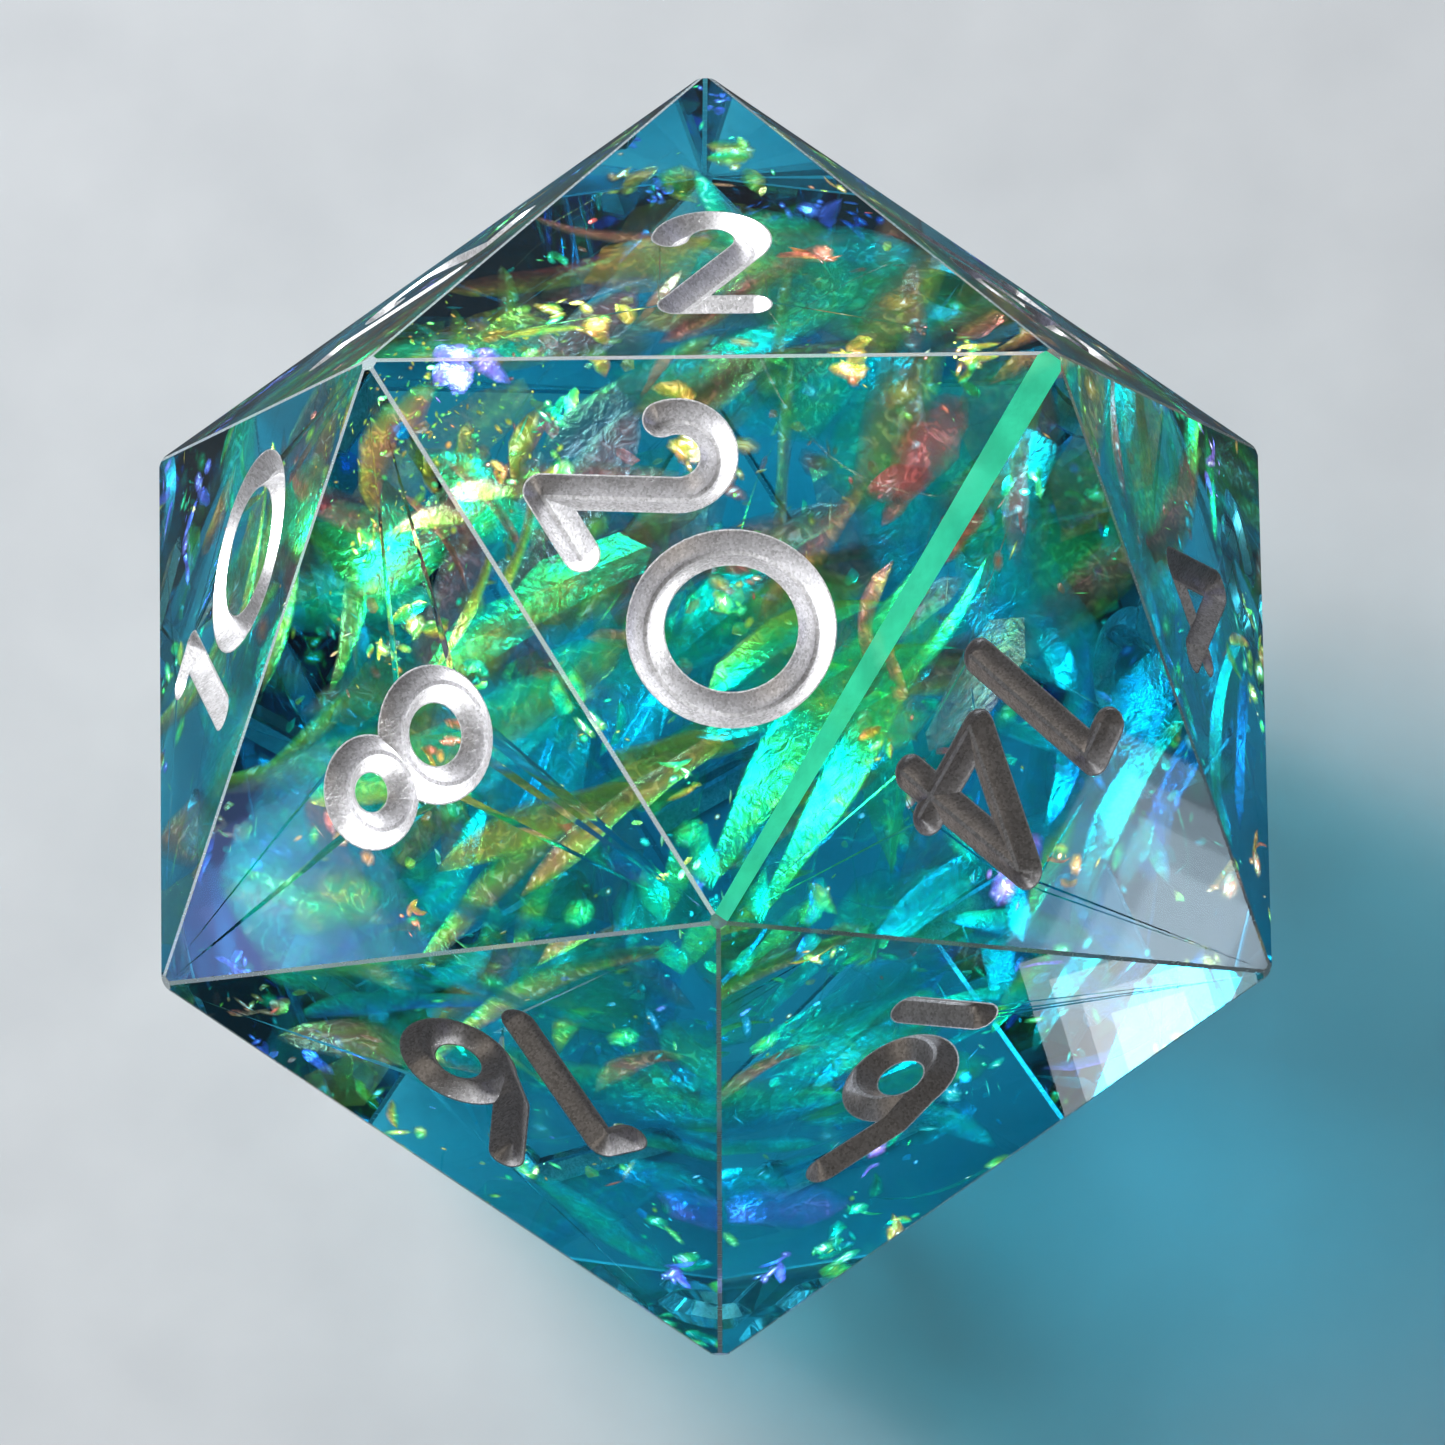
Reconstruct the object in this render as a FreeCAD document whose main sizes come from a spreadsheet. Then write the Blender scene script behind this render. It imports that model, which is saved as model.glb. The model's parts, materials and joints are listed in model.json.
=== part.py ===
import FreeCAD, Part
import math
import os

# A twenty-sided die cast in clear resin. It rests on the face numbered 1, with 20 on top.
# The frame is in millimetres: +Z up, the origin on the resting face under the die's centre.
# Pieces: the resin casting, twenty coats of metallic paint lining the engraved numerals,
# and the loose shards of thin film that were stirred into the resin before it set.

Vector = FreeCAD.Vector
Rotation = FreeCAD.Rotation
Placement = FreeCAD.Placement

GOLDEN = (1 + math.sqrt(5)) / 2
GOLDEN_ANGLE = 360 / GOLDEN ** 2
# How much wider the flat on an edge gets for each millimetre taken off it, halved.
EDGE_WIDENING = math.tan(math.acos(-math.sqrt(5) / 3) / 2)
X_AXIS = Vector(1, 0, 0)
Y_AXIS = Vector(0, 1, 0)
Z_AXIS = Vector(0, 0, 1)

# The driving dimensions: alias, value in millimetres, what it is.
DRIVING = (
    ("face_to_face", 20.0, "distance between two opposite faces"),
    ("edge_break", 0.09, "width of the flat left where each edge is polished"),
    ("corner_break", 0.12, "depth taken off each corner"),
    ("worn_wide", 0.56, "width of the flat worn on the edge BC, at the corner B"),
    ("worn_narrow", 0.3, "width of the flat worn on the edge BC, at the corner C"),
    ("groove_width", 0.74, "width of an engraved stroke at the face"),
    ("groove_floor", 0.08, "width of the stroke at its floor"),
    ("groove_depth", 0.33, "depth of an engraved stroke"),
    ("tool_rise", 0.15, "how far the engraving tools stand above the face"),
    ("coat_lift", 0.03, "paint thickness, measured square to the face"),
    ("digit_gap", 0.36, "clear space between two digits"),
    ("film_thickness", 0.04, "thickness of the film"),
    ("film_reach", 7.4, "distance from the centre that shards' middles keep inside"),
)
FILM_COUNT = 39

# Corner name: ring of corners (top, upper, lower or bottom) and direction in degrees.
CORNERS = {
    "A": ("top", 150), "B": ("top", 30), "C": ("top", 270),
    "D": ("upper", 210), "E": ("upper", 330), "F": ("upper", 90),
    "G": ("lower", 270), "H": ("lower", 150), "I": ("lower", 30),
    "J": ("bottom", 330), "K": ("bottom", 210), "L": ("bottom", 90),
}

# Numeral: the three corners of its face. The last one is the corner its digits point to.
# Opposite faces add up to 21.
FACES = {
    20: "ACB", 2: "ABF", 8: "CAD", 14: "BCE", 16: "DCG", 6: "CEG", 10: "ADH",
    4: "EBI", 12: "FAH", 18: "BFI", 1: "LJK", 19: "JKG", 13: "LJI", 7: "KLH",
    5: "LIF", 15: "HLF", 11: "IJE", 17: "HKD", 9: "GJE", 3: "KGD",
}

# Where the middle of a number stands on its face, across and up from the face's centre.
SINGLE_MIDDLE = (0.05, -0.05)
DOUBLE_MIDDLE = (0.3, -0.1)
SPECIAL_MIDDLE = {6: (0.2, 0.66), 9: (0.0, 0.66), 8: (0.03, 0.19), 10: (0.3, -0.3), 20: (0.3, -0.58)}
UNDERLINE_DROP = 2.66
UNDERLINE_HALF = 0.86
UNDERLINED = (6, 9)

# A digit is 3.4 mm tall between the centrelines of its strokes, about its own middle.
TALL = 1.7
ZERO_RADIUS = 1.65
BOWL = 0.84
TAIL_JOIN = 152

# How far each digit reaches left and right of its middle, outside edge to outside edge.
REACH = {
    "0": (2.02, 2.02), "1": (0.73, 0.7), "2": (1.16, 1.16), "3": (1.1, 1.35), "4": (1.37, 1.4),
    "5": (1.2, 1.3), "6": (1.2, 1.2), "7": (1.17, 1.17), "8": (1.34, 1.34), "9": (1.2, 1.2),
}

doc = FreeCAD.newDocument("Die")
sheet = doc.addObject("Spreadsheet::Sheet", "Sizes")
for row_number, (alias, value, meaning) in enumerate(DRIVING, start=1):
    sheet.set("A%d" % row_number, alias)
    sheet.set("B%d" % row_number, str(value))
    sheet.set("C%d" % row_number, meaning)
    sheet.setAlias("B%d" % row_number, alias)
doc.recompute()

face_to_face = float(sheet.face_to_face)
centre = Vector(0, 0, face_to_face / 2)


# ---- the solid's geometry ---------------------------------------------------------------

def corner_points():
    """The twelve corners of the icosahedron, measured from its centre."""
    radius = {
        "top": face_to_face / GOLDEN ** 2, "bottom": face_to_face / GOLDEN ** 2,
        "upper": face_to_face / GOLDEN, "lower": face_to_face / GOLDEN,
    }
    ring_height = (math.sqrt(5) - 2) * face_to_face / 2
    height = {
        "top": face_to_face / 2, "upper": ring_height,
        "lower": -ring_height, "bottom": -face_to_face / 2,
    }
    points = {}
    for name, (ring, degrees) in CORNERS.items():
        angle = math.radians(degrees)
        points[name] = Vector(
            radius[ring] * math.cos(angle), radius[ring] * math.sin(angle), height[ring])
    return points


corners = corner_points()


def face_placement(letters):
    """A face's own frame: X across, Y up to the corner its digits point to, Z outward."""
    middle = (corners[letters[0]] + corners[letters[1]] + corners[letters[2]]) / 3
    outward = Vector(middle).normalize()
    up = (corners[letters[2]] - middle).normalize()
    across = up.cross(outward)
    return Placement(centre + middle, Rotation(across, up, outward, "XYZ"))


def opposite_pairs(directions):
    """One direction of each opposite pair."""
    kept = []
    for direction in directions:
        if all((direction + other).Length > 1e-6 for other in kept):
            kept.append(direction)
    return kept


def slab(name, direction, thickness):
    """A wide block centred on the die, with two faces square to the direction."""
    block = doc.addObject("Part::Box", name)
    block.setExpression("Length", "Sizes.face_to_face * 2")
    block.setExpression("Width", "Sizes.face_to_face * 2")
    block.setExpression("Height", thickness)
    doc.recompute([block])
    turn = Rotation(Z_AXIS, direction)
    half = Vector(face_to_face, face_to_face, float(block.Height) / 2)
    block.Placement = Placement(centre - turn.multVec(half), turn)
    return block


def worn_edge_block():
    """A block whose top is the worn flat on the edge BC, the edge between the faces 20 and 14."""
    edge = corners["B"] - corners["C"]
    middle = (corners["B"] + corners["C"]) / 2
    wide = float(sheet.worn_wide) / EDGE_WIDENING / 2
    narrow = float(sheet.worn_narrow) / EDGE_WIDENING / 2
    tilt = math.degrees(math.atan((wide - narrow) / edge.Length))
    outward = Vector(middle).normalize()
    outward = Rotation(outward.cross(edge), tilt).multVec(outward)
    block = slab("WornEdge", outward, "Sizes.face_to_face * 2")
    depth = middle.Length - (wide + narrow) / 2
    block.Placement = Placement(outward * (depth - face_to_face), Rotation()) * block.Placement
    return block


def polyhedron():
    """The icosahedron as the common part of slabs: its faces, its edges and its corners."""
    face_ways = [face_placement(FACES[number]).Rotation.multVec(Z_AXIS) for number in FACES]
    corner_ways = [Vector(point).normalize() for point in corners.values()]
    edge_ways = []
    names = sorted(corners)
    shortest = (corners["A"] - corners["B"]).Length
    for index, first in enumerate(names):
        for second in names[index + 1:]:
            if abs((corners[first] - corners[second]).Length - shortest) < 1e-6:
                edge_ways.append((corners[first] + corners[second]).normalize())
    across_edges = "Sizes.face_to_face * %.9f - Sizes.edge_break / %.9f" % (
        math.sqrt(3) / GOLDEN, EDGE_WIDENING)
    across_corners = "Sizes.face_to_face * %.9f - 2 * Sizes.corner_break" % (
        2 * corners["A"].Length / face_to_face)
    slabs = []
    for kind, ways, thickness in (
            ("Face", face_ways, "Sizes.face_to_face"),
            ("Edge", edge_ways, across_edges),
            ("Corner", corner_ways, across_corners)):
        for count, way in enumerate(opposite_pairs(ways), start=1):
            slabs.append(slab("%sSlab%02d" % (kind, count), way, thickness))
    common = doc.addObject("Part::MultiCommon", "Polyhedron")
    common.Shapes = slabs + [worn_edge_block()]
    return common


# ---- engraving tools --------------------------------------------------------------------

TOOL_HEIGHT = "Sizes.groove_depth + Sizes.tool_rise"
TOOL_SLOPE = "(Sizes.groove_width - Sizes.groove_floor) / 2 / Sizes.groove_depth"
FLOOR_HALF = "Sizes.groove_floor / 2"
TOP_HALF = "%s + (%s) * (%s)" % (FLOOR_HALF, TOOL_HEIGHT, TOOL_SLOPE)
TOOL_BASE = -float(sheet.groove_depth)


def point_on(middle, radius, degrees):
    """The point of a circle at an angle."""
    angle = math.radians(degrees)
    return (middle[0] + radius * math.cos(angle), middle[1] + radius * math.sin(angle))


def heading_of(start, end):
    """The direction of a run, in degrees."""
    return math.degrees(math.atan2(end[1] - start[1], end[0] - start[0]))


def line(start, end):
    return {"start": start, "end": end, "out": heading_of(start, end), "in": heading_of(start, end)}


def arc(middle, radius, first, last):
    """A round run from one angle to another: clockwise where the last is the smaller."""
    side = 90 if last > first else -90
    return {
        "start": point_on(middle, radius, first), "end": point_on(middle, radius, last),
        "out": last + side, "in": first + side,
        "middle": middle, "radius": radius, "from": min(first, last), "sweep": abs(last - first),
    }


def path(*points):
    """Straight runs through the points."""
    return [line(start, end) for start, end in zip(points, points[1:])]


def tangent_angle(middle, radius, point):
    """Where on a circle a clockwise round leaves it for a straight run to the point."""
    across = point[0] - middle[0]
    up = point[1] - middle[1]
    spread = math.degrees(math.acos(radius / math.hypot(across, up)))
    return math.degrees(math.atan2(up, across)) + spread


def sector(name, foot, top, sweep, turn, spot):
    """Part of a cone standing on the floor of the groove, its radii given as expressions."""
    cone = doc.addObject("Part::Cone", name)
    cone.setExpression("Radius1", foot)
    cone.setExpression("Radius2", top)
    cone.setExpression("Height", TOOL_HEIGHT)
    cone.Angle = sweep
    cone.Placement = Placement(Vector(spot[0], spot[1], TOOL_BASE), Rotation(Z_AXIS, turn))
    return cone


def straight_tool(name, run):
    """The engraving of one straight run: a block with sloping sides."""
    wedge = doc.addObject("Part::Wedge", name)
    length = math.dist(run["start"], run["end"])
    for field in ("Xmin", "X2min"):
        setattr(wedge, field, 0)
    for field in ("Xmax", "X2max"):
        setattr(wedge, field, length)
    wedge.setExpression("Ymin", "-Sizes.groove_depth")
    wedge.setExpression("Ymax", "Sizes.tool_rise")
    wedge.setExpression("Zmin", "-(%s)" % FLOOR_HALF)
    wedge.setExpression("Zmax", FLOOR_HALF)
    wedge.setExpression("Z2min", "-(%s)" % TOP_HALF)
    wedge.setExpression("Z2max", TOP_HALF)
    turn = Rotation(Z_AXIS, run["out"]).multiply(Rotation(X_AXIS, 90))
    wedge.Placement = Placement(Vector(run["start"][0], run["start"][1], 0), turn)
    return wedge


def round_tool(name, run):
    """The engraving of one round run: an outer cone less an inner one."""
    radius = "%.9f" % run["radius"]
    outer = sector(name + "Outer", "%s + %s" % (radius, FLOOR_HALF), "%s + %s" % (radius, TOP_HALF),
                   run["sweep"], run["from"], run["middle"])
    inner = sector(name + "Inner", "%s - (%s)" % (radius, FLOOR_HALF), "%s - (%s)" % (radius, TOP_HALF),
                   run["sweep"], run["from"], run["middle"])
    ring = doc.addObject("Part::Cut", name)
    ring.Base = outer
    ring.Tool = inner
    return ring


def stroke_tools(name, runs, starts_free=True, ends_free=True):
    """A stroke's runs, a half cone at each free end and a slice of cone round each turn."""
    tools = []
    for count, run in enumerate(runs):
        make = round_tool if "radius" in run else straight_tool
        tools.append(make("%sRun%d" % (name, count), run))
        if count == 0:
            continue
        before = runs[count - 1]["out"]
        bend = (run["in"] - before + 180) % 360 - 180
        if abs(bend) > 0.01:
            first = before - 90 if bend > 0 else before + bend + 90
            tools.append(sector("%sTurn%d" % (name, count), FLOOR_HALF, TOP_HALF,
                                abs(bend), first, run["start"]))
    if starts_free:
        tools.append(sector(name + "Start", FLOOR_HALF, TOP_HALF, 180, runs[0]["in"] + 90,
                            runs[0]["start"]))
    if ends_free:
        tools.append(sector(name + "End", FLOOR_HALF, TOP_HALF, 180, runs[-1]["out"] - 90,
                            runs[-1]["end"]))
    return tools


def ring_tools(name, middle, radius):
    return [round_tool(name, arc(middle, radius, 0, 360))]


def two_runs():
    """A hook over the top, a straight run down to the left, and the base."""
    middle = (0, 0.9)
    radius = TALL - middle[1]
    foot = (-0.7, -TALL)
    leave = tangent_angle(middle, radius, foot)
    bow = arc(middle, radius, 172, leave)
    return [bow] + path(bow["end"], foot, (0.78, -TALL))


def three_runs():
    """Two round runs that meet at a point on their right."""
    upper_radius = 0.8
    lower_radius = 0.98
    upper = (0, TALL - upper_radius)
    lower = (0, lower_radius - TALL)
    apart = upper[1] - lower[1]
    drop = (upper_radius ** 2 - lower_radius ** 2 + apart ** 2) / (2 * apart)
    out = math.sqrt(upper_radius ** 2 - drop ** 2)
    upper_end = -math.degrees(math.atan2(drop, out))
    lower_start = math.degrees(math.atan2(apart - drop, out))
    return [arc(upper, upper_radius, 150, upper_end), arc(lower, lower_radius, lower_start, -150)]


def five_runs():
    """The top bar, the upright and the bowl."""
    middle = (-0.05, -0.72)
    radius = TALL + middle[1]
    bowl = arc(middle, radius, 125, -150)
    corner = (bowl["start"][0], TALL)
    return path((0.78, TALL), corner, bowl["start"]) + [bowl]


def digit_tools(name, digit):
    """The engraving tools of one digit, about its own middle."""
    if digit == "0":
        return ring_tools(name, (0, 0), ZERO_RADIUS)
    if digit == "1":
        return stroke_tools(name, path((-0.34, TALL - 0.08), (0.33, TALL), (0.33, -TALL)))
    if digit == "2":
        return stroke_tools(name, two_runs())
    if digit == "3":
        return stroke_tools(name, three_runs())
    if digit == "4":
        return stroke_tools(name, path((0.6, -TALL), (0.55, TALL), (-1.0, -0.9), (1.03, -0.85)))
    if digit == "5":
        return stroke_tools(name, five_runs())
    if digit == "6":
        bowl = (0, BOWL - TALL)
        tail = path((0.36, TALL), (-0.55, 0.35), point_on(bowl, BOWL, TAIL_JOIN))
        return ring_tools(name + "Bowl", bowl, BOWL) + stroke_tools(name, tail, ends_free=False)
    if digit == "7":
        return stroke_tools(name, path((-0.8, TALL), (0.8, TALL), (-0.3, -TALL)))
    if digit == "8":
        small = 0.75
        large = 0.98
        return (ring_tools(name + "Upper", (0, 1.82 - small), small)
                + ring_tools(name + "Lower", (0, large - 1.83), large))
    bowl = (0, TALL - BOWL)
    tail = path((-0.36, -TALL), (0.55, -0.35), point_on(bowl, BOWL, TAIL_JOIN - 180))
    return ring_tools(name + "Bowl", bowl, BOWL) + stroke_tools(name, tail, ends_free=False)


def moved(tools, across, up):
    """Shift tools over the face."""
    for tool in tools:
        tool.Placement.Base = tool.Placement.Base + Vector(across, up, 0)
        if tool.TypeId == "Part::Cut":
            tool.Placement.Base = Vector(across, up, 0)
    return tools


def numeral_middles(number):
    """The digits of a number with where each one's middle stands on the face."""
    digits = str(number)
    middle = SINGLE_MIDDLE if len(digits) == 1 else DOUBLE_MIDDLE
    middle = SPECIAL_MIDDLE.get(number, middle)
    if len(digits) == 1:
        return [(digits, middle[0], middle[1])]
    gap = float(sheet.digit_gap)
    total = sum(sum(REACH[digit]) for digit in digits) + gap
    edge = middle[0] - total / 2
    placed = []
    for digit in digits:
        placed.append((digit, edge + REACH[digit][0], middle[1]))
        edge += sum(REACH[digit]) + gap
    return placed


def numeral_engraving(number):
    """All the engraving tools of one face, joined, in the face's own frame."""
    tools = []
    for count, (digit, across, up) in enumerate(numeral_middles(number)):
        name = "Numeral%02dDigit%d" % (number, count)
        tools += moved(digit_tools(name, digit), across, up)
    if number in UNDERLINED:
        across, up = SPECIAL_MIDDLE[number]
        bar = path((-UNDERLINE_HALF, 0), (UNDERLINE_HALF, 0))
        tools += moved(stroke_tools("Numeral%02dBar" % number, bar), across, up - UNDERLINE_DROP)
    if len(tools) == 1:
        return tools[0]
    joined = doc.addObject("Part::MultiFuse", "Numeral%02dEngraving" % number)
    joined.Shapes = tools
    return joined


def moved_copy(name, source, placement):
    """The same shape in another place."""
    copy = doc.addObject("Part::Compound", name)
    copy.Links = [source]
    copy.Placement = placement
    return copy


def under_face():
    """A block whose top is the face, deeper than any engraving."""
    block = doc.addObject("Part::Box", "UnderFace")
    block.setExpression("Length", "Sizes.face_to_face")
    block.setExpression("Width", "Sizes.face_to_face")
    block.setExpression("Height", "Sizes.groove_depth * 2")
    block.Placement.Base = Vector(-face_to_face / 2, -face_to_face / 2, 2 * TOOL_BASE)
    return block


def paint_coat(number, engraving, block):
    """The paint on the walls and floor of one face's engraving."""
    fill = doc.addObject("Part::Common", "Fill%02d" % number)
    fill.Base = engraving
    fill.Tool = block
    lift = Placement(Vector(0, 0, float(sheet.coat_lift)), Rotation())
    hollow = moved_copy("Hollow%02d" % number, engraving, lift)
    coat = doc.addObject("Part::Cut", "Paint%02d" % number)
    coat.Base = fill
    coat.Tool = hollow
    coat.Placement = face_placement(FACES[number])
    coat.Label = "number_paint_%02d" % number
    return coat


# ---- film shards ------------------------------------------------------------------------

def shard_place(index):
    """Shards spread evenly through a ball, each turned its own way."""
    share = (index + 0.5) / FILM_COUNT
    distance = float(sheet.film_reach) * share ** (1 / 3)
    height = 1 - 2 * ((index * GOLDEN) % 1)
    angle = math.radians(index * GOLDEN_ANGLE * 3 + 20)
    flat = math.sqrt(1 - height ** 2)
    way = Vector(flat * math.cos(angle), flat * math.sin(angle), height)
    turn = Rotation(index * GOLDEN_ANGLE, 65 * math.sin(index * 1.7), index * 83)
    return Placement(centre + way * distance, turn)


def film_shard(index):
    """A bent scrap of film: a slice of thin tube, trimmed to a strip or a many-sided scrap."""
    name = "Film%02d" % (index + 1)
    bend = 1.6 + 0.5 * (index % 4)
    sweep = 62 + 9 * (index % 5)
    width = 1.0 + 0.3 * (index % 3)
    shells = []
    for kind, radius in (("Outer", "%.3f" % bend), ("Inner", "%.3f - Sizes.film_thickness" % bend)):
        tube = doc.addObject("Part::Cylinder", name + kind)
        tube.setExpression("Radius", radius)
        tube.Height = width
        tube.Angle = sweep
        tube.Placement = Placement(Vector(-bend, 0, -width / 2), Rotation(Z_AXIS, -sweep / 2))
        shells.append(tube)
    strip = doc.addObject("Part::Cut", name + "Strip")
    strip.Base = shells[0]
    strip.Tool = shells[1]
    if index % 3 == 0:
        shard = strip
    else:
        trim = doc.addObject("Part::Prism", name + "Trim")
        trim.Polygon = 3 if index % 3 == 1 else 5
        trim.Circumradius = 1.15 if index % 3 == 1 else 0.95
        trim.Height = 2 * bend
        trim.Placement = Placement(Vector(-bend, 0, 0), Rotation(Y_AXIS, 90))
        shard = doc.addObject("Part::Common", name + "Scrap")
        shard.Base = strip
        shard.Tool = trim
    shard.Placement = shard_place(index)
    shard.Label = "film_shard_%02d" % (index + 1)
    return shard


# ---- assembly ---------------------------------------------------------------------------

def build():
    """Make every piece and return the ones that are written out."""
    body = polyhedron()
    block = under_face()
    coats = []
    openings = []
    for number in sorted(FACES):
        engraving = numeral_engraving(number)
        coats.append(paint_coat(number, engraving, block))
        openings.append(
            moved_copy("Opening%02d" % number, engraving, face_placement(FACES[number])))
    shards = [film_shard(index) for index in range(FILM_COUNT)]
    cutters = doc.addObject("Part::Compound", "Cutters")
    cutters.Links = openings + shards
    resin = doc.addObject("Part::Cut", "Resin")
    resin.Base = body
    resin.Tool = cutters
    resin.Label = "resin_body"
    doc.recompute()
    return [resin] + coats + shards


def checked(pieces):
    """Stop on any failed object or bad shape."""
    for item in doc.Objects:
        if "Invalid" in item.State or "Error" in item.State:
            raise RuntimeError("%s did not recompute: %s" % (item.Label, item.State))
    for piece in pieces:
        shape = piece.Shape
        if shape.isNull() or not shape.isValid() or shape.Volume <= 0:
            raise RuntimeError("%s has no valid shape" % piece.Label)
    return pieces


def write_out(pieces):
    os.makedirs("parts", exist_ok=True)
    for piece in pieces:
        piece.Shape.exportStep(os.path.join("parts", piece.Label + ".step"))
        print(piece.Label, "solids", len(piece.Shape.Solids), "volume %.4f" % piece.Shape.Volume)


write_out(checked(build()))
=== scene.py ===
"""A twenty-sided die of clear teal resin with iridescent film inside, on a pale studio floor."""
import json
import math
import random
from collections import namedtuple

import bmesh
import bpy
from mathutils import Matrix, Vector


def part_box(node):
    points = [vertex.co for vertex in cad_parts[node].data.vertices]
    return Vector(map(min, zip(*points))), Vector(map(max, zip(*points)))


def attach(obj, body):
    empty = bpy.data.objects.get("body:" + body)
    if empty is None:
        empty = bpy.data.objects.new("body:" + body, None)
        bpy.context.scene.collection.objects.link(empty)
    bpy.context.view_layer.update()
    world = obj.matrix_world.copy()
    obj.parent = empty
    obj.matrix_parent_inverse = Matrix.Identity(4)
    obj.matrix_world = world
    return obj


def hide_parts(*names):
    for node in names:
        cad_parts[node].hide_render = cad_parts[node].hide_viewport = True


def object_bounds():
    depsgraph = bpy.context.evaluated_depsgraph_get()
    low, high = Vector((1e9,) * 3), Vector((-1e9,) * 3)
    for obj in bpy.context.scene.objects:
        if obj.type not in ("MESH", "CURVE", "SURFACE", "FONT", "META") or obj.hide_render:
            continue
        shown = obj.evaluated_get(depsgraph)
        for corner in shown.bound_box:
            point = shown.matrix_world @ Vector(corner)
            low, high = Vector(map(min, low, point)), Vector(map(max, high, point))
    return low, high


MM = 0.001

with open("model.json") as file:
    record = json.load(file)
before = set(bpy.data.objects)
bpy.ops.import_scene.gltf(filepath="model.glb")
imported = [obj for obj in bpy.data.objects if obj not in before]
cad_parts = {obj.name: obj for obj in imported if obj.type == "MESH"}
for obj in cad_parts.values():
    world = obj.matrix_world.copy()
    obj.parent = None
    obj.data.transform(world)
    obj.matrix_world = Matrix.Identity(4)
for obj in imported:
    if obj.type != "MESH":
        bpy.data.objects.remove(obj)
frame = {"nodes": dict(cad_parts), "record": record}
cad_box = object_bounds()
LOW, HIGH = cad_box
CENTRE = (LOW + HIGH) / 2
FACE_TO_FACE = HIGH.z - LOW.z
INSIDE = FACE_TO_FACE / 2


# ---- node helpers -----------------------------------------------------------------------

def new_material(name):
    """An empty node material and its tree."""
    material = bpy.data.materials.new(name)
    material.use_nodes = True
    material.node_tree.nodes.clear()
    return material, material.node_tree


def node(tree, kind, **values):
    """A shader node; keyword values go to its properties, or to its inputs where they are named."""
    made = tree.nodes.new(kind)
    for key, value in values.items():
        if hasattr(made, key):
            setattr(made, key, value)
        else:
            made.inputs[key.replace("_", " ")].default_value = value
    return made


def ramp(tree, factor, stops):
    """A colour ramp fed by a factor."""
    made = tree.nodes.new("ShaderNodeValToRGB")
    elements = made.color_ramp.elements
    while len(elements) < len(stops):
        elements.new(0.5)
    for element, (position, colour) in zip(elements, stops):
        element.position = position
        element.color = (*colour, 1)
    tree.links.new(factor, made.inputs[0])
    return made


def noise(tree, place, scale, detail, distortion=0.0):
    """A noise factor laid out in the given coordinates."""
    made = node(tree, "ShaderNodeTexNoise", Scale=scale, Detail=detail, Distortion=distortion)
    tree.links.new(place, made.inputs["Vector"])
    return made.outputs["Fac"]


def bumped(tree, shader, height, strength, distance):
    """Give a shader a bump from a height factor."""
    bump = node(tree, "ShaderNodeBump", Strength=strength, Distance=distance)
    tree.links.new(height, bump.inputs["Height"])
    tree.links.new(bump.outputs[0], shader.inputs["Normal"])


def surface(tree, shader):
    """Use a shader as the material's surface; returns the material's output node."""
    output = node(tree, "ShaderNodeOutputMaterial")
    tree.links.new(shader.outputs[0], output.inputs["Surface"])
    return output


# ---- materials --------------------------------------------------------------------------

def object_coordinates(tree, seed=0.0):
    """The piece's own coordinates, shifted by a seed so that no two materials share a pattern."""
    coords = tree.nodes.new("ShaderNodeTexCoord")
    shift = tree.nodes.new("ShaderNodeMapping")
    shift.inputs["Location"].default_value = (seed * 0.013, seed * 0.007, seed * 0.011)
    tree.links.new(coords.outputs["Object"], shift.inputs["Vector"])
    return shift.outputs[0]


# Scratches are drawn out along one direction; these scales are in waves per metre.
SCRATCH_SCALE = (400, 26000, 26000)
SCRATCH_ROUGHNESS = 0.05


def hairlines(tree, place, turn):
    """A mask of sparse fine scratches, drawn out along one direction."""
    stretch = tree.nodes.new("ShaderNodeMapping")
    stretch.inputs["Rotation"].default_value = turn
    stretch.inputs["Scale"].default_value = SCRATCH_SCALE
    tree.links.new(place, stretch.inputs["Vector"])
    lines = noise(tree, stretch.outputs[0], 1.0, 1.0, 0.4)
    return ramp(tree, lines, [(0.66, (0, 0, 0)), (0.74, (1, 1, 1))]).outputs[0]


# The resin's tint through its depth: the light it lets by, and how much it takes up per metre.
DEPTH_COLOUR = (0.32, 0.8, 0.865, 1)
DEPTH_DENSITY = 260.0


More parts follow.
